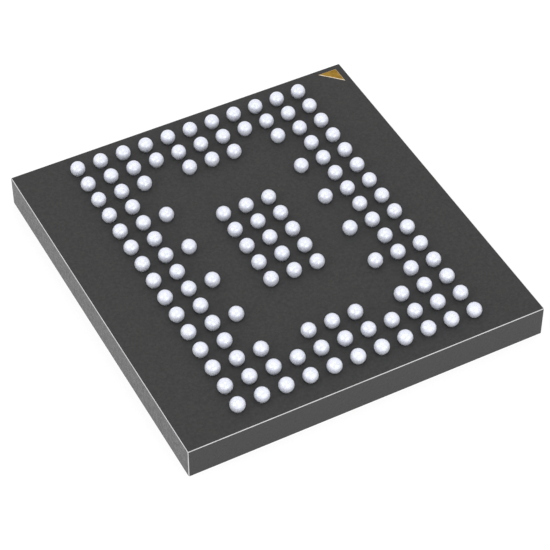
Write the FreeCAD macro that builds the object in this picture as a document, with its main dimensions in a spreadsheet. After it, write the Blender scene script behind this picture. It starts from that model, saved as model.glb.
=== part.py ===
import FreeCAD, Part
import os
import Sketcher

# A ball grid array chip: 121 solder balls on a laminate, with the die moulded in on the other side.
# The unit is the millimetre. The chip lies on its mark face with the balls up, as it lies in a tray.
# The origin is the middle of the mark face. +Z points to the balls, +X runs from column 11 to
# column 1, and +Y from row R to row A, so ball A1 and the gold corner mark lie at +X and +Y.

# Each size of the chip: its name, its value in millimetres and what it measures.
SIZES = [
    ("ball_pitch", 0.5, "from one ball to the next, both ways"),
    ("ball_diameter", 0.3, "solder ball"),
    ("ball_seat", 0.02, "how far a ball is flattened on its land"),
    ("opening_gap", 0.012, "room between a ball and the lip of its mask opening"),
    ("land_overlap", 0.04, "how far the mask covers the rim of a land"),
    ("edge_margin_x", 1.25, "from the outer balls to the edge, along X"),
    ("edge_margin_y", 0.5, "from the outer balls to the edge, along Y"),
    ("edge_bevel", 0.012, "broken edge all round the package"),
    ("cap_height", 0.44, "moulded cap, from the mark face to the laminate"),
    ("mask_thickness", 0.025, "solder mask on each side of the core"),
    ("core_thickness", 0.2, "glass and resin core of the laminate"),
    ("copper_thickness", 0.015, "lands, traces and bond fingers"),
    ("via_diameter", 0.1, "copper plug through the core"),
    ("via_pad_rim", 0.05, "pad round a via, past the plug"),
    ("marker_leg", 0.42, "short sides of the gold corner triangle"),
    ("marker_inset_x", 0.145, "from the triangle to the edge, along X"),
    ("marker_inset_y", 0.12, "from the triangle to the edge, along Y"),
    ("marker_rise", 0.006, "how far the triangle stands above the mask"),
    ("dot_diameter", 0.5, "shallow dot on the mark face, over pin one"),
    ("dot_depth", 0.012, "depth of that dot"),
    ("dot_inset", 0.6, "from the dot's middle to both edges"),
    ("die_width", 5.4, "silicon die, along X"),
    ("die_length", 5.8, "silicon die, along Y"),
    ("die_thickness", 0.15, "silicon die"),
    ("film_thickness", 0.02, "glue film under the die"),
    ("plane_margin", 0.15, "ground plane, past the outermost vias that it joins"),
    ("finger_width", 0.1, "bond finger"),
    ("finger_length", 0.24, "bond finger"),
    ("finger_margin", 0.17, "from a finger's outer end to the package edge"),
    ("window_gap", 0.03, "mask window, past the fingers all round"),
    ("trace_width", 0.06, "copper trace"),
    ("wire_diameter", 0.025, "gold bond wire"),
    ("loop_height", 0.1, "top of the wire's loop above the die"),
    ("loop_reach", 0.24, "level part of the loop, from the bond outwards"),
    ("bond_inset", 0.08, "from the bond on the die to the die's edge"),
    ("bond_diameter", 0.06, "flattened ball at the wire's first end"),
    ("bond_height", 0.012, "flattened ball at the wire's first end"),
]

# The ball map as it is seen with the balls up: O is a ball. Columns run from 11 to 1, left to right.
BALL_MAP = {
    "a": "OOOOOOOOOOO",
    "b": "OOOOOOOOOOO",
    "c": "OOO.OOO.OOO",
    "d": "OO.......OO",
    "e": "OOO.....OOO",
    "f": "OO..OOO..OO",
    "g": "OOO.OOO.OOO",
    "h": "OO..OOO..OO",
    "j": "OOO.OOO.OOO",
    "k": "OO..OOO..OO",
    "l": "OOO.....OOO",
    "m": "OO.......OO",
    "n": "OOO.OOO.OOO",
    "p": "OOOOOOOOOOO",
    "r": "OOOOOOOOOOO",
}
ROWS = list(BALL_MAP)
COLUMNS = len(BALL_MAP["a"])
# The balls of the two outer rings are wired to the die. Those further in share the ground plane.
WIRED_RINGS = 2

# How many pitches lie between the middle and the outermost balls, of the grid and of its inner part.
HALF_COLUMNS = (COLUMNS - 1) / 2
HALF_ROWS = (len(ROWS) - 1) / 2
HALF_INNER_COLUMNS = HALF_COLUMNS - WIRED_RINGS
HALF_INNER_ROWS = HALF_ROWS - WIRED_RINGS

# Half the package each way, and the levels of the layers, as formulas on the sheet of sizes.
HALF_X = f"(sizes.ball_pitch * {HALF_COLUMNS} + sizes.edge_margin_x)"
HALF_Y = f"(sizes.ball_pitch * {HALF_ROWS} + sizes.edge_margin_y)"
CORE_BOTTOM = "(sizes.cap_height + sizes.mask_thickness)"
CORE_TOP = f"({CORE_BOTTOM} + sizes.core_thickness)"
LAND_FACE = f"({CORE_TOP} + sizes.copper_thickness)"
FINGER_FACE = f"({CORE_BOTTOM} - sizes.copper_thickness)"
DIE_BACK = "(sizes.cap_height - sizes.film_thickness)"
DIE_FACE = f"({DIE_BACK} - sizes.die_thickness)"

# A bevel takes at most this share of the mask's thickness, so that it never cuts through the mask.
BEVEL_SHARE = 0.8
BEVEL = f"min(sizes.edge_bevel; sizes.mask_thickness * {BEVEL_SHARE})"

# A shape that cuts an opening starts this far outside the face that it cuts.
CUT_START = "sizes.mask_thickness"

# A ball is a sphere with a flat on its land. Its lip radius is its section at the mask's face.
BALL_RADIUS = "(sizes.ball_diameter / 2)"
BALL_RISE = f"({BALL_RADIUS} - sizes.ball_seat)"
LIP_RISE = f"({BALL_RISE} - sizes.mask_thickness + sizes.copper_thickness)"
LIP_RADIUS = f"sqrt({BALL_RADIUS} ^ 2 - {LIP_RISE} ^ 2)"
OPENING_RADIUS = f"({LIP_RADIUS} + sizes.opening_gap)"
LAND_RADIUS = f"({OPENING_RADIUS} + sizes.land_overlap)"

# How a sketch numbers its origin and the points of a line or a circle.
ORIGIN = -1
START, END, MIDDLE = 1, 2, 3
# A sketch is first drawn at about this size, and then its formulas set the true one.
ROUGH_SIZE = 0.1
# Edges that differ by less than this lie at one level.
LEVEL_TOLERANCE = 1e-4

doc = FreeCAD.newDocument("ball_grid_array")


def make_sheet():
    """Write the sizes into a spreadsheet, one row each, with the name as the value's alias."""
    sheet = doc.addObject("Spreadsheet::Sheet", "sizes")
    for row, (name, value, meaning) in enumerate(SIZES, start=1):
        sheet.set(f"A{row}", meaning)
        sheet.set(f"B{row}", str(value))
        sheet.setAlias(f"B{row}", name)
    doc.recompute()


def bind(thing, **formulas):
    """Tie properties of an object to formulas on the sheet. at_x, at_y and at_z are its place."""
    for name, formula in formulas.items():
        path = name.replace("at_", "Placement.Base.") if name.startswith("at_") else name
        thing.setExpression(path, str(formula))
    return thing


def box(name, size_x, size_y, size_z, middle_x, middle_y, bottom):
    """A block with its middle and its underside at given places."""
    block = doc.addObject("Part::Box", name)
    return bind(
        block,
        Length=size_x,
        Width=size_y,
        Height=size_z,
        at_x=f"{middle_x} - ({size_x}) / 2",
        at_y=f"{middle_y} - ({size_y}) / 2",
        at_z=bottom,
    )


def disc(name, radius, thickness, bottom, middle_x="0", middle_y="0"):
    """A round plate or plug that stands on a given level."""
    cylinder = doc.addObject("Part::Cylinder", name)
    return bind(cylinder, Radius=radius, Height=thickness, at_x=middle_x, at_y=middle_y, at_z=bottom)


def joined(name, pieces):
    """Several touching shapes made one solid."""
    fusion = doc.addObject("Part::MultiFuse", name)
    fusion.Shapes = pieces
    return fusion


def group(name, pieces):
    """Separate solids of one kind, held together as one sub-part."""
    compound = doc.addObject("Part::Compound", name)
    compound.Links = pieces
    return compound


def cut(name, base, tool):
    """A shape with the room for another one taken out of it."""
    result = doc.addObject("Part::Cut", name)
    result.Base = base
    result.Tool = tool
    return result


def copy_of(master, name, across, along):
    """A repeat of a piece, moved across by X and along by Y."""
    link = doc.addObject("App::Link", name)
    link.LinkedObject = master
    link.LinkTransform = True
    return bind(link, at_x=across, at_y=along)


def at_balls(master, rows):
    """Copies of a piece at each ball place of the given rows."""
    copies = []
    for row in rows:
        steps_up = HALF_ROWS - ROWS.index(row)
        for column, mark in enumerate(BALL_MAP[row]):
            if mark == "O":
                across = f"sizes.ball_pitch * {column - HALF_COLUMNS}"
                along = f"sizes.ball_pitch * {steps_up}"
                copies.append(copy_of(master, f"{master.Name}_{row}{COLUMNS - column}", across, along))
    return copies


def sketch_on(body, role, name, level="0"):
    """An empty sketch on one of a body's own planes, lifted off it to a level."""
    planes = {plane.Role: plane for plane in body.Origin.OriginFeatures}
    sketch = body.newObject("Sketcher::SketchObject", name)
    sketch.AttachmentSupport = [(planes[role], "")]
    sketch.MapMode = "FlatFace"
    sketch.setExpression("AttachmentOffset.Base.z", level)
    return sketch


def draw_outline(sketch, corners, closed=True):
    """Join corners with lines, and tie each corner to its two formulas from the sketch's origin."""
    last = len(corners) if closed else len(corners) - 1
    rough = [FreeCAD.Vector(step, step * step, 0) * ROUGH_SIZE for step in range(len(corners))]
    for step in range(last):
        sketch.addGeometry(Part.LineSegment(rough[step], rough[(step + 1) % len(corners)]))
    for step in range(last if closed else last - 1):
        sketch.addConstraint(Sketcher.Constraint("Coincident", step, END, (step + 1) % last, START))
    for step, corner in enumerate(corners):
        line, point = (step, START) if step < last else (step - 1, END)
        for kind, formula in zip(("DistanceX", "DistanceY"), corner):
            rule = Sketcher.Constraint(kind, ORIGIN, START, line, point, ROUGH_SIZE)
            number = sketch.addConstraint(rule)
            sketch.renameConstraint(number, f"{kind}{step}")
            sketch.setExpression(f"Constraints.{kind}{step}", formula)


def draw_circle(sketch, radius, middle_x="0", middle_y="0"):
    """A circle in a sketch, tied to formulas for its radius and its middle."""
    rough_middle = FreeCAD.Vector(ROUGH_SIZE, ROUGH_SIZE, 0)
    circle = sketch.addGeometry(Part.Circle(rough_middle, FreeCAD.Vector(0, 0, 1), ROUGH_SIZE))
    rules = [
        ("radius", Sketcher.Constraint("Radius", circle, ROUGH_SIZE), radius),
        ("across", Sketcher.Constraint("DistanceX", ORIGIN, START, circle, MIDDLE, ROUGH_SIZE), middle_x),
        ("along", Sketcher.Constraint("DistanceY", ORIGIN, START, circle, MIDDLE, ROUGH_SIZE), middle_y),
    ]
    for name, rule, formula in rules:
        sketch.renameConstraint(sketch.addConstraint(rule), name)
        sketch.setExpression(f"Constraints.{name}", formula)


def pad(body, name, sketch, thickness):
    """A sketch made solid, upwards from its plane."""
    solid = body.newObject("PartDesign::Pad", name)
    solid.Profile = sketch
    solid.setExpression("Length", thickness)
    return solid


def lies_at(edge, level):
    """Whether an edge lies wholly at one level."""
    extent = edge.BoundBox
    return abs(extent.ZMin - level) < LEVEL_TOLERANCE and abs(extent.ZMax - level) < LEVEL_TOLERANCE


def package_plate(name, bottom, thickness, bevelled_face=None):
    """One layer of the package, with its four corners broken, and one face's edges where asked."""
    body = doc.addObject("PartDesign::Body", name)
    outline = sketch_on(body, "XY_Plane", f"{name}_outline", bottom)
    corners = [
        (f"-{HALF_X}", f"-{HALF_Y}"),
        (HALF_X, f"-{HALF_Y}"),
        (HALF_X, HALF_Y),
        (f"-{HALF_X}", HALF_Y),
    ]
    draw_outline(outline, corners)
    plate = pad(body, f"{name}_plate", outline, thickness)
    doc.recompute()
    plate_box = plate.Shape.BoundBox
    levels = {"top": [plate_box.ZMax], "bottom": [plate_box.ZMin], None: []}[bevelled_face]
    edges = []
    for number, edge in enumerate(plate.Shape.Edges, start=1):
        upright = edge.BoundBox.ZLength > edge.BoundBox.XLength + edge.BoundBox.YLength
        if upright or any(lies_at(edge, level) for level in levels):
            edges.append(f"Edge{number}")
    bevel = body.newObject("PartDesign::Chamfer", f"{name}_bevel")
    bevel.Base = (plate, edges)
    bevel.setExpression("Size", BEVEL)
    return body


def make_balls():
    """The solder balls, one group for each row, each ball flattened where it is soldered down."""
    ball = doc.addObject("Part::Sphere", "ball")
    bind(ball, Radius=BALL_RADIUS, Angle1=f"-asin({BALL_RISE} / {BALL_RADIUS})")
    bind(ball, at_z=f"{LAND_FACE} + {BALL_RISE}")
    return [group(f"ball_row_{row}", at_balls(ball, [row])) for row in ROWS]


def make_lands_and_vias():
    """The copper land under each ball, and the copper plug from it through the core."""
    land = disc("land", LAND_RADIUS, "sizes.copper_thickness", CORE_TOP)
    via = disc("via", "sizes.via_diameter / 2", "sizes.core_thickness", CORE_BOTTOM)
    return group("ball_lands", at_balls(land, ROWS)), group("via_plugs", at_balls(via, ROWS))


def make_marker():
    """The gold triangle that points at ball A1. It is a plate on the core, through the mask."""
    body = doc.addObject("PartDesign::Body", "pin_one_marker")
    outline = sketch_on(body, "XY_Plane", "marker_outline", CORE_TOP)
    corner_x = f"{HALF_X} - sizes.marker_inset_x"
    corner_y = f"{HALF_Y} - sizes.marker_inset_y"
    corners = [
        (corner_x, corner_y),
        (f"{corner_x} - sizes.marker_leg", corner_y),
        (corner_x, f"{corner_y} - sizes.marker_leg"),
    ]
    draw_outline(outline, corners)
    pad(body, "marker_plate", outline, "sizes.mask_thickness + sizes.marker_rise")
    return body


def make_ball_side_mask(marker):
    """The solder mask round the balls. It laps over each land's rim and opens over its middle."""
    plate = package_plate("ball_side_mask_blank", CORE_TOP, "sizes.mask_thickness", "top")
    below = f"{CORE_TOP} - {CUT_START}"
    recess = disc("land_recess", LAND_RADIUS, f"{CUT_START} + sizes.copper_thickness", below)
    through = f"{CUT_START} + sizes.mask_thickness + {CUT_START}"
    opening = disc("mask_opening", OPENING_RADIUS, through, below)
    stepped = joined("stepped_opening", [recess, opening])
    room = group("ball_side_mask_room", at_balls(stepped, ROWS) + [marker])
    return cut("ball_side_mask", plate, room)


def make_core(vias):
    """The glass and resin core of the laminate, drilled for the vias."""
    plate = package_plate("laminate_core_blank", CORE_BOTTOM, "sizes.core_thickness")
    return cut("laminate_core", plate, vias)


def make_ground_plane():
    """The copper field under the die that joins the inner vias."""
    return box(
        "ground_plane",
        f"2 * (sizes.ball_pitch * {HALF_INNER_COLUMNS} + sizes.plane_margin)",
        f"2 * (sizes.ball_pitch * {HALF_INNER_ROWS} + sizes.plane_margin)",
        "sizes.copper_thickness",
        "0",
        "0",
        FINGER_FACE,
    )


def net(name, finger_inner, via_y, sidestep):
    """A bond finger, its trace and its via pad in one copper piece, drawn for the +Y side.

    The finger of a plain net is in line with its via. With a sidestep the finger lies that far
    to the side, and the trace turns through 45 degrees to reach the via.
    """
    copper = "sizes.copper_thickness"
    width = "sizes.trace_width"
    finger_middle = f"{finger_inner} + sizes.finger_length / 2"
    finger = box(
        f"{name}_finger", "sizes.finger_width", "sizes.finger_length", copper,
        sidestep, finger_middle, FINGER_FACE,
    )
    via_pad = disc(
        f"{name}_pad", "sizes.via_diameter / 2 + sizes.via_pad_rim", copper, FINGER_FACE, "0", via_y,
    )
    bend_y = f"({via_y} + {sidestep})"
    run = f"({finger_middle} - {bend_y})"
    trace = box(
        f"{name}_trace", width, run, copper, sidestep, f"({finger_middle} + {bend_y}) / 2", FINGER_FACE,
    )
    pieces = [finger, via_pad, trace]
    if sidestep != "0":
        pieces.append(disc(f"{name}_bend", f"{width} / 2", copper, FINGER_FACE, sidestep, bend_y))
        slant = doc.addObject("Part::Box", f"{name}_slant")
        slant.Placement.Rotation = FreeCAD.Rotation(FreeCAD.Vector(0, 0, 1), 45)
        bind(slant, Length=f"{sidestep} * sqrt(2)", Width=width, Height=copper)
        bind(slant, at_x=f"{width} / sqrt(8)", at_y=f"{via_y} - {width} / sqrt(8)", at_z=FINGER_FACE)
        pieces.append(slant)
    return joined(name, pieces)


def wire(name, die_edge, finger_inner):
    """One bond wire for the +Y side: a flattened ball on the die, a loop and a stitch on the finger."""
    body = doc.addObject("PartDesign::Body", f"{name}_loop")
    bond_y = f"({die_edge} - sizes.bond_inset)"
    loop_top = f"{DIE_FACE} - sizes.loop_height"
    path = sketch_on(body, "YZ_Plane", f"{name}_path")
    points = [
        (bond_y, DIE_FACE),
        (bond_y, loop_top),
        (f"{bond_y} + sizes.loop_reach", loop_top),
        (f"{finger_inner} + sizes.finger_length / 2", f"{FINGER_FACE} + sizes.wire_diameter"),
    ]
    draw_outline(path, points, closed=False)
    section = sketch_on(body, "XY_Plane", f"{name}_section", DIE_FACE)
    draw_circle(section, "sizes.wire_diameter / 2", "0", bond_y)
    sweep = body.newObject("PartDesign::AdditivePipe", f"{name}_sweep")
    sweep.Profile = section
    sweep.Spine = (path, ["Edge1", "Edge2", "Edge3"])
    sweep.Transition = "Right corner"
    ball_bottom = f"{DIE_FACE} - sizes.bond_height"
    ball = disc(f"{name}_ball", "sizes.bond_diameter / 2", "sizes.bond_height", ball_bottom, "0", bond_y)
    whole = joined(f"{name}_whole", [body, ball])
    past_finger = box(
        f"{name}_past_finger", "sizes.finger_width", "sizes.finger_length", "sizes.core_thickness",
        "0", f"{finger_inner} + sizes.finger_length / 2", FINGER_FACE,
    )
    return cut(name, whole, past_finger)


def along_side(master, places):
    """Copies of a piece along a side, at half pitches from its middle."""
    copies = []
    for number, half_pitches in enumerate(places, start=1):
        across = f"sizes.ball_pitch * {half_pitches} / 2"
        copies.append(copy_of(master, f"{master.Name}_{number}", across, "0"))
    return copies


def make_side(side, angle, half_width, die_edge, outer_via, half_count):
    """The copper nets, the bond wires and the mask window of one side, turned to face it.

    The half count is how many balls of the outer ring lie on each side of the middle one.
    """
    turn = FreeCAD.Rotation(FreeCAD.Vector(0, 0, 1), angle)
    finger_inner = f"({half_width} - sizes.finger_margin - sizes.finger_length)"
    inner_via = f"({outer_via} - sizes.ball_pitch)"
    straight = net(f"{side}_straight_net", finger_inner, outer_via, "0")
    stepped = net(f"{side}_stepped_net", finger_inner, inner_via, "sizes.ball_pitch / 2")
    bond_wire = wire(f"{side}_wire", die_edge, finger_inner)
    most = int(2 * half_count)
    in_line = list(range(-most, most + 1, 2))
    between = in_line[:-1]
    nets = group(f"{side}_traces", along_side(straight, in_line) + along_side(stepped, between))
    wires = group(f"{side}_bond_wires", along_side(bond_wire, range(-most, most + 1)))
    window = box(
        f"{side}_window",
        f"sizes.ball_pitch * {2 * half_count} + sizes.finger_width + 2 * sizes.window_gap",
        "sizes.finger_length + 2 * sizes.window_gap",
        "sizes.mask_thickness",
        "0",
        f"{finger_inner} + sizes.finger_length / 2",
        "sizes.cap_height",
    )
    turned_window = group(f"{side}_mask_window", [window])
    for turned in (nets, wires, turned_window):
        turned.Placement = FreeCAD.Placement(FreeCAD.Vector(0, 0, 0), turn)
    return nets, wires, turned_window


def make_sides():
    """All four sides. The long sides of the package face +X and -X."""
    outer_row = f"(sizes.ball_pitch * {HALF_ROWS})"
    outer_column = f"(sizes.ball_pitch * {HALF_COLUMNS})"
    short_side = (HALF_Y, "sizes.die_length / 2", outer_row, HALF_COLUMNS)
    long_side = (HALF_X, "sizes.die_width / 2", outer_column, HALF_INNER_ROWS)
    sides = [
        make_side("row_a_side", 0, *short_side),
        make_side("row_r_side", 180, *short_side),
        make_side("column_1_side", -90, *long_side),
        make_side("column_11_side", 90, *long_side),
    ]
    return [list(kind) for kind in zip(*sides)]


def make_die():
    """The silicon die and the film that glues it to the laminate."""
    footprint = ("sizes.die_width", "sizes.die_length")
    die = box("silicon_die", *footprint, "sizes.die_thickness", "0", "0", DIE_FACE)
    film = box("die_attach_film", *footprint, "sizes.film_thickness", "0", "0", DIE_BACK)
    return die, film


def make_die_side_mask(nets, windows, plane):
    """The solder mask under the die, open over the bond fingers and moulded round the copper."""
    plate = package_plate("die_side_mask_blank", "sizes.cap_height", "sizes.mask_thickness")
    room = group("die_side_mask_room", nets + windows + [plane])
    return cut("die_side_mask", plate, room)


def make_cap(windows, held):
    """The black moulding compound that holds the die and the wires, with the pin one dot."""
    body = package_plate("mould_cap_blank", "0", "sizes.cap_height", "bottom")
    dot = disc(
        "pin_one_dot", "sizes.dot_diameter / 2", f"{CUT_START} + sizes.dot_depth", f"-{CUT_START}",
        f"{HALF_X} - sizes.dot_inset", f"{HALF_Y} - sizes.dot_inset",
    )
    filled = joined("mould_cap_filled", [body] + windows)
    return cut("mould_cap", filled, group("mould_cap_room", held + [dot]))


def write_parts(parts):
    """Check every object, then write each sub-part to a file with its own name."""
    doc.recompute()
    for thing in doc.Objects:
        if "Invalid" in thing.State or "Error" in thing.State:
            raise RuntimeError(f"{thing.Label} failed: {thing.State}")
    for part in parts:
        if part.Shape.isNull() or not part.Shape.isValid() or not part.Shape.Solids:
            raise RuntimeError(f"{part.Label} has no sound shape")
    os.makedirs("parts", exist_ok=True)
    for part in parts:
        part.Shape.exportStep(f"parts/{part.Label}.step")
        print(f"{part.Label}: {len(part.Shape.Solids)} solids, {part.Shape.Volume:.5f} mm3")


make_sheet()
ball_rows = make_balls()
lands, vias = make_lands_and_vias()
pin_one_marker = make_marker()
side_nets, side_wires, side_windows = make_sides()
silicon_die, die_attach_film = make_die()
ground_plane = make_ground_plane()
mould_cap = make_cap(side_windows, [silicon_die, die_attach_film] + side_nets + side_wires)
die_side_mask = make_die_side_mask(side_nets, side_windows, ground_plane)
laminate_core = make_core(vias)
ball_side_mask = make_ball_side_mask(pin_one_marker)
layers = [mould_cap, silicon_die, die_attach_film, die_side_mask, laminate_core, ball_side_mask]
copper = [lands, vias, ground_plane, pin_one_marker] + side_nets
write_parts(layers + copper + side_wires + ball_rows)
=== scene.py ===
# %% [markdown]
# A ball grid array chip, lying on its mark face with its solder balls up.
#
# The real chip is a sandwich: a black moulded cap over a silicon die, a thin laminate with a solder
# mask on both sides, and 121 solder balls on the laminate. The fixed frame holds every solid of it at
# its true size, so this script only gives the pieces their finish, and remakes the balls and the gold
# corner mark, whose soft edges are what the eye catches first.

# %% Load the fixed frame
import bmesh
import bpy
import math
from mathutils import Matrix, Vector


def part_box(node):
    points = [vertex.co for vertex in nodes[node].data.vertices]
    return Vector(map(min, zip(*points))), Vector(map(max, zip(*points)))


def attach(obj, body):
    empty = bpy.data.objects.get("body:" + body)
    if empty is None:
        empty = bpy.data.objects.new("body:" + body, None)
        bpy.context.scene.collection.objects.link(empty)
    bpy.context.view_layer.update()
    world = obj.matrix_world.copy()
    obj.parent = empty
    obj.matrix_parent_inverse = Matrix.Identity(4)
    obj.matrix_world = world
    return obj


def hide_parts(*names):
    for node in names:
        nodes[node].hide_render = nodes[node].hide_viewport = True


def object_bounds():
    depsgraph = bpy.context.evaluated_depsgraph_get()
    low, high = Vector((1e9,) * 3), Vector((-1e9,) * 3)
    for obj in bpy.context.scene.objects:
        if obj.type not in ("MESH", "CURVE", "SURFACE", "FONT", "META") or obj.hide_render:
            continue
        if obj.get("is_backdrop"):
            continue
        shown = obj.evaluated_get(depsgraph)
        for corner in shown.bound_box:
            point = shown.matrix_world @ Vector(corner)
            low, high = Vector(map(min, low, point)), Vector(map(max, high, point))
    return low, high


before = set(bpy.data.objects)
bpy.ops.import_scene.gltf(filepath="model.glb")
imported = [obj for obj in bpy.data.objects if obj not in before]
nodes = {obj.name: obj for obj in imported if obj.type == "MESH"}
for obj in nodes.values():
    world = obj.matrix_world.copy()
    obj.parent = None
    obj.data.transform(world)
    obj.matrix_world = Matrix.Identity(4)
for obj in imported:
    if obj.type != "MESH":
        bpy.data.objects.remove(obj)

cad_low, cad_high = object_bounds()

MM = 0.001
scene = bpy.context.scene
size_mm = [round(side / MM, 3) for side in cad_high - cad_low]
print("the chip measures", size_mm, "mm in", len(nodes), "pieces")

# %% [markdown]
# Shader effects that several finishes share are node groups, like a function in code. Each group is
# built once, with named sockets, and each material drops it in and sets its own values.
#
# A pattern could be painted as a picture and wrapped round the chip. Here it is worked out from the
# place on the chip instead, which needs no file and stays sharp from near by. All patterns start from
# Object coordinates. Every piece sits at the origin, so these are places on the real chip, and
# multiplying them by 1000 turns metres into millimetres. A pattern's scale is then the number of its
# cells in a millimetre, which is easy to judge at this size.

# %% Helpers for building node trees
def add_node(tree, kind, inputs=None, **settings):
    """Adds a shader node. Inputs are given by name or number, as values or as links."""
    node = tree.nodes.new(kind)
    for name, value in settings.items():
        setattr(node, name, value)
    for key, value in (inputs or {}).items():
        if isinstance(value, bpy.types.NodeSocket):
            tree.links.new(value, node.inputs[key])
        else:
            node.inputs[key].default_value = value
    return node


def maths(tree, operation, first, second=0.0, third=0.0):
    """One Math node, as its output."""
    return add_node(tree, "ShaderNodeMath", {0: first, 1: second, 2: third}, operation=operation).outputs[0]


def remap(tree, value, low, high, new_low=0.0, new_high=1.0):
    """Maps a value from one range to another and holds it there."""
    inputs = {"Value": value, "From Min": low, "From Max": high, "To Min": new_low, "To Max": new_high}
    return add_node(tree, "ShaderNodeMapRange", inputs).outputs["Result"]


def millimetres(tree):
    """Object coordinates in millimetres."""
    place = add_node(tree, "ShaderNodeTexCoord").outputs["Object"]
    scaled = add_node(tree, "ShaderNodeVectorMath", {0: place, "Scale": 1 / MM}, operation="SCALE")
    return scaled.outputs["Vector"]


def noise(tree, place, cells_per_mm, detail=2.0, roughness=0.5, swirl=0.0):
    """A noise pattern with the given number of cells in a millimetre."""
    inputs = {"Vector": place, "Scale": cells_per_mm}
    inputs.update({"Detail": detail, "Roughness": roughness, "Distortion": swirl})
    return add_node(tree, "ShaderNodeTexNoise", inputs).outputs["Fac"]


def new_group(name, inputs, outputs):
    """An empty shader node group with its sockets, its input node and its output node."""
    group = bpy.data.node_groups.new(name, "ShaderNodeTree")
    for label, value in inputs.items():
        socket = group.interface.new_socket(label, in_out="INPUT", socket_type="NodeSocketFloat")
        socket.default_value = value
    for label in outputs:
        group.interface.new_socket(label, in_out="OUTPUT", socket_type="NodeSocketFloat")
    given = group.nodes.new("NodeGroupInput").outputs
    wanted = group.nodes.new("NodeGroupOutput")
    return group, given, wanted


print("ready to build node trees")

# %% [markdown]
# The first group is the grain of a filled resin. Moulding compound and solder mask both hold fine
# glass powder, which shows as specks a few hundredths of a millimetre across. The specks could be
# grains of their own, but a face would need tens of thousands, so two patterns stand for them: the
# cells of a Voronoi texture are the specks, and noise is the unevenness between them. The group gives
# a soft mottle, the specks, and a height for the bump of the surface.
#
# Noise seldom leaves the middle of its range, so that part is what gets stretched over a finish.

# %% The grain of a filled resin
NOISE_RANGE = (0.3, 0.7)
SPECK_REACH = 0.6

grain_group, given, wanted = new_group(
    "resin_grain",
    {"Cells per mm": 30.0, "Speck share": 0.3, "Mottle cells per mm": 18.0},
    ["Mottle", "Specks", "Height"],
)
place = millimetres(grain_group)
mottle = noise(grain_group, place, given["Mottle cells per mm"], detail=3.0)
fine = noise(grain_group, place, given["Cells per mm"], detail=3.0, roughness=0.7)
cells = add_node(grain_group, "ShaderNodeTexVoronoi", {"Vector": place, "Scale": given["Cells per mm"]})
speck_edge = maths(grain_group, "MULTIPLY", given["Speck share"], SPECK_REACH)
specks = remap(grain_group, cells.outputs["Distance"], speck_edge, 0.0)
grain_group.links.new(remap(grain_group, mottle, *NOISE_RANGE), wanted.inputs["Mottle"])
grain_group.links.new(specks, wanted.inputs["Specks"])
grain_group.links.new(fine, wanted.inputs["Height"])
print("made the group", grain_group.name)

# %% [markdown]
# The second group finds the broken edges of the package, each a narrow bevel, and the finishes paint
# them pale. That pale colour is a painted highlight, the thin line of light that such an edge catches.
# A thin strip could be laid along each edge, but the bevels are in the solids already, and they give
# themselves away: a bevel leans between two main directions. So the group reads the face's normal.
# The products of its squared components are zero on a flat side and add up to a quarter or more on a
# bevel. The wall of a round hole leans too, so the group also asks for a place close to the outside.
# A noise makes the painted highlight stronger in some places than in others.

# %% The painted highlight on the edges
HALF_X = cad_high.x / MM
HALF_Y = cad_high.y / MM
BEVEL_LEAN = (0.1, 0.2)
EDGE_ZONE_MM = 0.03
HIGHLIGHT_PATCH_CELLS_PER_MM = 4.0
HIGHLIGHT_PATCH_RANGE = (0.2, 0.6)
FAINTEST_EDGE_HIGHLIGHT, FULLEST_EDGE_HIGHLIGHT = 0.75, 1.0

edge_group, given, wanted = new_group("painted_edge_highlight", {"Amount": 1.0}, ["Mask"])
normal = add_node(edge_group, "ShaderNodeNewGeometry").outputs["True Normal"]
squared = add_node(edge_group, "ShaderNodeVectorMath", {0: normal, 1: normal}, operation="MULTIPLY")
parts = add_node(edge_group, "ShaderNodeSeparateXYZ", {0: squared.outputs[0]}).outputs
pairs = [maths(edge_group, "MULTIPLY", parts[one], parts[other]) for one, other in ((0, 1), (1, 2), (2, 0))]
lean = maths(edge_group, "ADD", maths(edge_group, "ADD", pairs[0], pairs[1]), pairs[2])
bevel_mask = remap(edge_group, lean, *BEVEL_LEAN)
place = millimetres(edge_group)
across = add_node(edge_group, "ShaderNodeSeparateXYZ", {0: place}).outputs
near_x = maths(edge_group, "GREATER_THAN", maths(edge_group, "ABSOLUTE", across[0]), HALF_X - EDGE_ZONE_MM)
near_y = maths(edge_group, "GREATER_THAN", maths(edge_group, "ABSOLUTE", across[1]), HALF_Y - EDGE_ZONE_MM)
outside = maths(edge_group, "MAXIMUM", near_x, near_y)
# The noise makes the painted edge highlight stronger in some places than in others.
highlight_patches = noise(edge_group, place, HIGHLIGHT_PATCH_CELLS_PER_MM)
highlight_strength = remap(edge_group, highlight_patches, *HIGHLIGHT_PATCH_RANGE, FAINTEST_EDGE_HIGHLIGHT, FULLEST_EDGE_HIGHLIGHT)
amount = maths(edge_group, "MULTIPLY", given["Amount"], highlight_strength)
edge_highlight_mask = maths(edge_group, "MULTIPLY", maths(edge_group, "MULTIPLY", bevel_mask, outside), amount)
edge_group.links.new(edge_highlight_mask, wanted.inputs["Mask"])
print("made the group", edge_group.name)

# %% [markdown]
# The mark face, underneath, has a shallow round dot over ball A1, left by a polished pin in the mould.
# Its floor came out smoother and a shade paler than the rest. The faces of that floor could be given a
# material of their own, but the mesh belongs to the cap's solid and is left alone. This group finds
# the floor instead, by its distance from the dot's middle and by its depth in the face.

# %% The polished dot over ball A1
DOT_INSET_MM = 0.6
DOT_RADIUS_MM = 0.25
DOT_DEPTH_MM = 0.012
DEPTH_MARGIN_MM = 0.004
DOT_MIDDLE_MM = (HALF_X - DOT_INSET_MM, HALF_Y - DOT_INSET_MM, 0.0)

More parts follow.
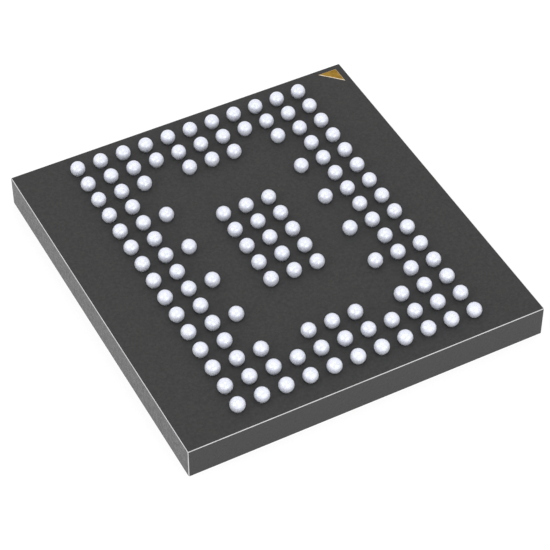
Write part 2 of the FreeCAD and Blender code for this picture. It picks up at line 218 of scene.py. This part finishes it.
dot_group, given, wanted = new_group("polished_dot", {"Amount": 1.0}, ["Mask"])
place = millimetres(dot_group)
flat = add_node(dot_group, "ShaderNodeVectorMath", {0: place, 1: (1.0, 1.0, 0.0)}, operation="MULTIPLY")
ends = {0: flat.outputs[0], 1: DOT_MIDDLE_MM}
apart = add_node(dot_group, "ShaderNodeVectorMath", ends, operation="DISTANCE")
inside = maths(dot_group, "LESS_THAN", apart.outputs["Value"], DOT_RADIUS_MM)
depth = add_node(dot_group, "ShaderNodeSeparateXYZ", {0: place}).outputs[2]
on_floor = maths(dot_group, "COMPARE", depth, DOT_DEPTH_MM, DEPTH_MARGIN_MM)
dot_mask = maths(dot_group, "MULTIPLY", maths(dot_group, "MULTIPLY", inside, on_floor), given["Amount"])
dot_group.links.new(dot_mask, wanted.inputs["Mask"])
print("made the group", dot_group.name)

# %% [markdown]
# The last group is for metal. Its tone drifts, as on any plated or reflowed surface, and fine marks
# break up its shine. One colour with one roughness would be simpler, but at this size it looks like
# plastic. Distortion bends both patterns into the swirls that solder sets in.

# %% The uneven shine of metal
metal_group, given, wanted = new_group(
    "metal_shine",
    {"Drift cells per mm": 3.0, "Mark cells per mm": 60.0, "Swirl": 0.0},
    ["Drift", "Marks"],
)
place = millimetres(metal_group)
drift = noise(metal_group, place, given["Drift cells per mm"], swirl=given["Swirl"])
marks = noise(
    metal_group, place, given["Mark cells per mm"], detail=4.0, roughness=0.65, swirl=given["Swirl"]
)
metal_group.links.new(remap(metal_group, drift, *NOISE_RANGE), wanted.inputs["Drift"])
metal_group.links.new(marks, wanted.inputs["Marks"])
print("made the group", metal_group.name)

# %% [markdown]
# A finish is a material: those groups round one Principled BSDF, the shader that covers resin and
# metal alike. Three helpers save repeating its parts: an empty material, a blend of two colours, and
# a bump. Colours are linear, as Blender's shaders use them, so 0.05 is a dark grey and not a black.

# %% Helpers for materials
def new_material(name):
    """A material with an empty tree but for its output and one Principled BSDF."""
    material = bpy.data.materials.new(name)
    material.use_nodes = True
    tree = material.node_tree
    tree.nodes.clear()
    shader = add_node(tree, "ShaderNodeBsdfPrincipled")
    output = add_node(tree, "ShaderNodeOutputMaterial")
    tree.links.new(shader.outputs[0], output.inputs["Surface"])
    return material, tree, shader


def blend_colours(tree, share, first, second):
    """A colour between two, by a share that may be a link."""
    mix = add_node(tree, "ShaderNodeMix", {"Factor": share}, data_type="RGBA")
    for socket, colour in zip((mix.inputs[6], mix.inputs[7]), (first, second)):
        if isinstance(colour, bpy.types.NodeSocket):
            tree.links.new(colour, socket)
        else:
            socket.default_value = (*colour, 1.0)
    return mix.outputs[2]


def bump(tree, height, depth_mm):
    """A normal from a height pattern that stands up to a depth in millimetres."""
    inputs = {"Height": height, "Strength": 1.0, "Distance": depth_mm * MM}
    return add_node(tree, "ShaderNodeBump", inputs).outputs["Normal"]


print("ready to build materials")

# %% [markdown]
# Resin comes first. The moulding compound is nearly black: what makes it grey to the eye is the pale
# surroundings mirrored in it, more on a face that is seen at a low angle. The solder mask is a shade
# lighter and mirrors very little. They could be two materials built apart, but both are black resin
# full of powder, so one function makes both and only their values differ.

# %% A resin finish
# The pale edge colour below is a painted highlight along the bevels.
EDGE_HIGHLIGHT_COLOUR = (0.58, 0.58, 0.59)
POLISHED_DOT = (0.05, 0.05, 0.05)
DOT_SMOOTHING = 0.18
SPECK_STRENGTH = 0.5


def resin_finish(
    name, dark, light, speck, roughness, cells_per_mm, depth_mm, edge_highlight, gloss=0.5, dot=0.0
):
    """Filled resin, finely specked and mottled, with painted edge highlights and a polished dot if asked.
    """
    material, tree, shader = new_material(name)
    shader.inputs["Specular IOR Level"].default_value = gloss
    grain = add_node(tree, "ShaderNodeGroup", node_tree=grain_group)
    grain.inputs["Cells per mm"].default_value = cells_per_mm
    edge = add_node(tree, "ShaderNodeGroup", node_tree=edge_group)
    edge.inputs["Amount"].default_value = edge_highlight
    ground = blend_colours(tree, grain.outputs["Mottle"], dark, light)
    speck_share = maths(tree, "MULTIPLY", grain.outputs["Specks"], SPECK_STRENGTH)
    specked = blend_colours(tree, speck_share, ground, speck)
    polish = add_node(tree, "ShaderNodeGroup", node_tree=dot_group)
    polish.inputs["Amount"].default_value = dot
    polished = blend_colours(tree, polish.outputs["Mask"], specked, POLISHED_DOT)
    # Painted highlight: the bevelled edges take the pale edge colour.
    edged = blend_colours(tree, edge.outputs["Mask"], polished, EDGE_HIGHLIGHT_COLOUR)
    tree.links.new(edged, shader.inputs["Base Color"])
    grainy = remap(tree, grain.outputs["Height"], *NOISE_RANGE, *roughness)
    smoothed = maths(tree, "MULTIPLY", polish.outputs["Mask"], DOT_SMOOTHING)
    tree.links.new(maths(tree, "SUBTRACT", grainy, smoothed), shader.inputs["Roughness"])
    tree.links.new(bump(tree, grain.outputs["Height"], depth_mm), shader.inputs["Normal"])
    return material


# %% The solder mask and the moulding compound
mask_finish = resin_finish(
    "black_solder_mask",
    dark=(0.0375, 0.0375, 0.0375),
    light=(0.0485, 0.0485, 0.0475),
    speck=(0.12, 0.12, 0.12),
    roughness=(0.4, 0.55),
    cells_per_mm=26.0,
    depth_mm=0.0012,
    edge_highlight=1.0,
    gloss=0.08,
)
mould_finish = resin_finish(
    "black_moulding_compound",
    dark=(0.006, 0.006, 0.006),
    light=(0.021, 0.021, 0.021),
    speck=(0.08, 0.08, 0.08),
    roughness=(0.22, 0.48),
    cells_per_mm=18.0,
    depth_mm=0.0026,
    edge_highlight=1.0,
    dot=1.0,
)
print("made", mask_finish.name, "and", mould_finish.name)

# %% [markdown]
# A metal takes its colour from the base colour alone, with Metallic at one. Gold and copper are made
# so, and differ in that colour, in how rough they are and in how much their tone drifts. Solder could
# be too, but full metal would mirror the black mask and turn the balls dark below. The skin of real
# reflowed solder is a fine frost that scatters most of the light, so its Metallic is 0.3.

# %% A metal finish
def metal_finish(
    name, deep, bright, roughness, marks_per_mm, depth_mm, metallic=1.0, drift_per_mm=3.0, swirl=0.0
):
    """A metal whose tone drifts between two colours, with fine marks in its shine."""
    material, tree, shader = new_material(name)
    shine = add_node(tree, "ShaderNodeGroup", node_tree=metal_group)
    shine.inputs["Drift cells per mm"].default_value = drift_per_mm
    shine.inputs["Mark cells per mm"].default_value = marks_per_mm
    shine.inputs["Swirl"].default_value = swirl
    tree.links.new(blend_colours(tree, shine.outputs["Drift"], deep, bright), shader.inputs["Base Color"])
    shader.inputs["Metallic"].default_value = metallic
    shininess = remap(tree, shine.outputs["Marks"], *NOISE_RANGE, *roughness)
    tree.links.new(shininess, shader.inputs["Roughness"])
    tree.links.new(bump(tree, shine.outputs["Marks"], depth_mm), shader.inputs["Normal"])
    return material


# %% Solder and gold plate
solder_finish = metal_finish(
    "bright_solder",
    deep=(0.605, 0.632, 0.735),
    bright=(0.885, 0.905, 0.985),
    roughness=(0.15, 0.50),
    marks_per_mm=44.0,
    depth_mm=0.0009,
    metallic=0.3,
    drift_per_mm=46.0,
    swirl=1.5,
)
gold_plate = metal_finish(
    "gold_plate",
    deep=(0.26, 0.14, 0.015),
    bright=(0.41, 0.245, 0.042),
    roughness=(0.35, 0.5),
    marks_per_mm=30.0,
    depth_mm=0.0008,
    drift_per_mm=9.0,
    swirl=0.5,
)
# The pale gold of the mark's rim is a painted highlight along its edge.
gold_rim_highlight = metal_finish(
    "gold_rim_highlight",
    deep=(0.66, 0.52, 0.35),
    bright=(0.80, 0.70, 0.56),
    roughness=(0.3, 0.45),
    marks_per_mm=30.0,
    depth_mm=0.0006,
    drift_per_mm=9.0,
)
print("made", solder_finish.name + ",", gold_plate.name, "and", gold_rim_highlight.name)

# %% [markdown]
# What lies inside the chip is seen only when it is taken apart, and gets its own finish too: gold for
# the bond wires, copper for the lands, traces and plugs, and a smooth dark metal for the silicon die,
# which is polished like a mirror. The film that glues the die down is a cured resin, so the resin
# function makes it, without the painted edge highlight.

# %% The finishes inside the chip
gold_wire = metal_finish(
    "gold_wire",
    deep=(0.85, 0.55, 0.15),
    bright=(0.95, 0.66, 0.22),
    roughness=(0.2, 0.3),
    marks_per_mm=90.0,
    depth_mm=0.0003,
)
copper_finish = metal_finish(
    "plated_copper",
    deep=(0.62, 0.27, 0.14),
    bright=(0.76, 0.36, 0.2),
    roughness=(0.3, 0.45),
    marks_per_mm=40.0,
    depth_mm=0.0005,
)
silicon_finish = metal_finish(
    "polished_silicon",
    deep=(0.16, 0.16, 0.18),
    bright=(0.22, 0.22, 0.25),
    roughness=(0.08, 0.14),
    marks_per_mm=8.0,
    depth_mm=0.0001,
)
film_finish = resin_finish(
    "cured_die_film",
    dark=(0.30, 0.22, 0.10),
    light=(0.38, 0.29, 0.15),
    speck=(0.5, 0.42, 0.28),
    roughness=(0.5, 0.65),
    cells_per_mm=20.0,
    depth_mm=0.0008,
    edge_highlight=0.0,
)
print("made", ", ".join(made.name for made in (gold_wire, copper_finish, silicon_finish, film_finish)))

# %% [markdown]
# The pieces whose form is already right could be modelled again with more care, but their solids are
# exact, so they keep their mesh and only change their material. The layers of the package share one
# black, because the photograph shows its sides as one tone with no line between cap and laminate.
# Assigning to the object's first slot swaps the finish and leaves the mesh alone.

# %% Dress the solid pieces
finish_of = {
    "mould_cap": mould_finish,
    "laminate_core": mould_finish,
    "die_side_mask": mould_finish,
    "ball_side_mask": mask_finish,
    "silicon_die": silicon_finish,
    "die_attach_film": film_finish,
    "ball_lands": copper_finish,
    "via_plugs": copper_finish,
    "ground_plane": copper_finish,
}
for name in nodes:
    if name.endswith("_traces"):
        finish_of[name] = copper_finish
    elif name.endswith("_bond_wires"):
        finish_of[name] = gold_wire
for name, finish in finish_of.items():
    nodes[name].material_slots[0].material = finish
print("dressed", len(finish_of), "pieces")

# %% [markdown]
# Each solder ball is a sphere that melted onto its land, so it has a short neck that fills the
# opening in the mask. It could be a profile spun round an axis. Here a sphere is cut flat with
# bisect_plane, and the open rim is drawn down to the land and closed, which shows how operators
# follow each other: each one returns the geometry that it made, for the next one to use.

# %% Build one ball
AROUND, UP = 20, 12
NECK_RADIUS = 0.102 * MM

ball_low, ball_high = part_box("ball_row_a")
ball_radius = (ball_high.y - ball_low.y) / 2
ball_centre_z = ball_high.z - ball_radius
neck_z = -math.sqrt(ball_radius**2 - NECK_RADIUS**2)

form = bmesh.new()
bmesh.ops.create_uvsphere(form, u_segments=AROUND, v_segments=UP, radius=ball_radius)
whole = form.verts[:] + form.edges[:] + form.faces[:]
cut = bmesh.ops.bisect_plane(
    form, geom=whole, plane_co=(0, 0, neck_z), plane_no=(0, 0, -1), clear_outer=True
)
rim = [item for item in cut["geom_cut"] if isinstance(item, bmesh.types.BMEdge)]
drawn = bmesh.ops.extrude_edge_only(form, edges=rim)["geom"]
foot = [item for item in drawn if isinstance(item, bmesh.types.BMVert)]
for vert in foot:
    vert.co.z = ball_low.z - ball_centre_z
bmesh.ops.contextual_create(form, geom=foot)
one_ball = bpy.data.meshes.new("one_ball")
form.to_mesh(one_ball)
form.free()
print("a ball is", round(2 * ball_radius / MM, 3), "mm across and has", len(one_ball.polygons), "faces")

# %% [markdown]
# The ball is now copied to each place of its row. 121 objects that share one mesh would be lighter,
# but the chip's table counts one piece for each row of balls, so each row becomes one mesh. The frame
# tells where the balls are: a ball is narrower than the pitch, so each point of the row's solid, its
# place divided by the pitch, rounds to the column of its own ball.
#
# A finished mesh always becomes a piece in the same way: its normals are turned outwards, it gets its
# materials, it rides on the chip's one body, and the solid that it stands for is hidden.

# %% Turn a form into a piece of the chip
def finish_piece(form, name, materials, replaced):
    """Turns a bmesh into a piece of the chip that stands for a node of the frame."""
    bmesh.ops.recalc_face_normals(form, faces=form.faces)
    mesh = bpy.data.meshes.new(name)
    form.to_mesh(mesh)
    form.free()
    for material in materials:
        mesh.materials.append(material)
    piece = bpy.data.objects.new(name, mesh)
    scene.collection.objects.link(piece)
    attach(piece, "root")
    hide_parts(replaced)
    return piece


# %% Solder the balls on, row by row
PITCH = 0.5 * MM

rows = sorted(name for name in nodes if name.startswith("ball_row_"))
ball_count = 0
for name in rows:
    low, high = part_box(name)
    row_y = (low.y + high.y) / 2
    columns = sorted({round(vert.co.x / PITCH) for vert in nodes[name].data.vertices})
    form = bmesh.new()
    for column in columns:
        form.from_mesh(one_ball)
        newest = form.verts[-len(one_ball.vertices):]
        bmesh.ops.translate(form, verts=newest, vec=(column * PITCH, row_y, ball_centre_z))
    row = finish_piece(form, name.replace("ball_row", "solder_balls_row"), [solder_finish], name)
    row.data.shade_smooth()
    ball_count += len(columns)
bpy.data.meshes.remove(one_ball)
print("soldered", ball_count, "balls in", len(rows), "rows")

# %% [markdown]
# The gold mark by ball A1 is a thin plated triangle that stands a few microns above the mask. Its
# solid is a sharp prism, which could stay as it is. But a sharp edge catches no light, so here the
# same prism gets a rounded rim with the bevel operator, and the rim is painted a paler gold: a
# painted highlight along the mark's edge.

# %% The gold corner mark
RIM_MM = 0.012

low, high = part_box("pin_one_marker")
form = bmesh.new()
corners = [(high.x, high.y), (low.x, high.y), (high.x, low.y)]
base = [form.verts.new((x, y, low.z)) for x, y in corners]
face = form.faces.new(base)
lifted = bmesh.ops.extrude_face_region(form, geom=[face])["geom"]
top = [item for item in lifted if isinstance(item, bmesh.types.BMVert)]
bmesh.ops.translate(form, verts=top, vec=(0, 0, high.z - low.z))
bmesh.ops.recalc_face_normals(form, faces=form.faces)
rim = [edge for edge in form.edges if all(vert in top for vert in edge.verts)]
bevelled = bmesh.ops.bevel(
    form, geom=rim, offset=RIM_MM * MM, segments=2, profile=0.5, affect="EDGES", material=-1
)
# The rim faces take the pale gold: a painted highlight.
for face in bevelled["faces"]:
    face.material_index = 1
marker = finish_piece(form, "gold_corner_mark", [gold_plate, gold_rim_highlight], "pin_one_marker")
print("the gold mark has", len(marker.data.polygons), "faces")

# %% [markdown]
# The stage is a plain white floor. It could be a backdrop that curves up behind the chip, but in an
# even white room a flat floor shows no edge. The floor glows a little itself, which keeps the chip's
# shadow as faint as it is in the photograph and gives the chip's sides their grey, because a dark
# glossy face shows what lies in front of it more than its own colour. The floor lies a hair below the
# mark face: two faces at the same height would break up into patches of both.

# %% The floor
FLOOR_SIZE = 0.6
FLOOR_DROP_MM = 0.002
FLOOR_GREY = 0.25
FLOOR_GLOW = 0.78

form = bmesh.new()
bmesh.ops.create_grid(form, x_segments=1, y_segments=1, size=FLOOR_SIZE / 2)
bmesh.ops.translate(form, verts=form.verts, vec=(0, 0, -FLOOR_DROP_MM * MM))
floor_mesh = bpy.data.meshes.new("floor")
form.to_mesh(floor_mesh)
form.free()
floor = bpy.data.objects.new("floor", floor_mesh)
scene.collection.objects.link(floor)
floor_material, tree, shader = new_material("white_floor")
shader.inputs["Base Color"].default_value = (FLOOR_GREY, FLOOR_GREY, FLOOR_GREY, 1.0)
shader.inputs["Roughness"].default_value = 1.0
shader.inputs["Specular IOR Level"].default_value = 0.0
shader.inputs["Emission Color"].default_value = (1.0, 1.0, 1.0, 1.0)
shader.inputs["Emission Strength"].default_value = FLOOR_GLOW
floor_mesh.materials.append(floor_material)
floor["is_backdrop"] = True
print("laid the floor", FLOOR_DROP_MM, "mm below the chip")

# %% [markdown]
# The light is an even white world and four soft lamps. The world alone would do for the flat faces,
# but it lights a ball the same from all sides. The lamps round the balls off: one from the left, two
# low ones from the front and one from above. Their strengths were found by setting the render of one
# ball beside a ball of the photograph. The view transform is Standard, because Blender's usual one
# turns a pure white ground into a pale grey.

# %% The light
LAMP_DISTANCE = 0.08
LAMP_SIZE = 0.03

world = bpy.data.worlds.new("white_room")
world.use_nodes = True
world.node_tree.nodes["Background"].inputs["Color"].default_value = (1.0, 1.0, 1.0, 1.0)
world.node_tree.nodes["Background"].inputs["Strength"].default_value = 1.0
scene.world = world
scene.view_settings.view_transform = "Standard"


def towards(azimuth, elevation):
    """The direction from the chip at two angles in degrees, turning from the -Y side to the +X side."""
    turn, rise = math.radians(azimuth), math.radians(elevation)
    return Vector((math.sin(turn) * math.cos(rise), -math.cos(turn) * math.cos(rise), math.sin(rise)))


def soft_lamp(name, azimuth, elevation, power):
    """A square lamp that faces the chip."""
    out = towards(azimuth, elevation)
    light = bpy.data.lights.new(name, "AREA")
    light.size = LAMP_SIZE
    light.energy = power
    lamp = bpy.data.objects.new(name, light)
    scene.collection.objects.link(lamp)
    facing = out.to_track_quat("Z", "Y").to_matrix().to_4x4()
    lamp.matrix_world = Matrix.Translation(out * LAMP_DISTANCE) @ facing
    print(name, "lights the chip with", power, "W")


soft_lamp("left_lamp", azimuth=-84.0, elevation=33.0, power=0.0105)
soft_lamp("front_lamp", azimuth=-5.0, elevation=20.0, power=0.0082)
soft_lamp("right_lamp", azimuth=25.0, elevation=25.0, power=0.0032)
soft_lamp("top_lamp", azimuth=-10.0, elevation=85.0, power=0.0045)

# %% [markdown]
# The camera stands where the photograph was taken from. It could be placed by eye, but a small error
# would shift every ball. Its place, its angle and its lens were worked out from the grid of balls,
# whose pitch is known.

# %% The camera
CAMERA_PLACE_MM = (-13.9227, -26.5888, 30.9484)
CAMERA_AZIMUTH = -27.828
CAMERA_ELEVATION = 46.113
LENS_MM = 143.51
SENSOR_MM = 36.0
NEAREST, FARTHEST = 0.001, 10.0

camera_data = bpy.data.cameras.new("camera")
camera_data.lens = LENS_MM
camera_data.sensor_width = SENSOR_MM
camera_data.clip_start = NEAREST
camera_data.clip_end = FARTHEST
camera = bpy.data.objects.new("camera", camera_data)
scene.collection.objects.link(camera)
camera.location = Vector(CAMERA_PLACE_MM) * MM
camera.rotation_mode = "QUATERNION"
camera.rotation_quaternion = (-towards(CAMERA_AZIMUTH, CAMERA_ELEVATION)).to_track_quat("-Z", "Y")
scene.camera = camera
print("the camera looks down at", CAMERA_ELEVATION, "degrees")

# %% [markdown]
# Nothing that was added should reach past the solids. So the box round the finished chip is measured
# and printed, as the box of the solids was at the start.

# %% Measure the finished chip
low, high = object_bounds()
print("the finished chip measures", [round(side / MM, 3) for side in high - low], "mm")
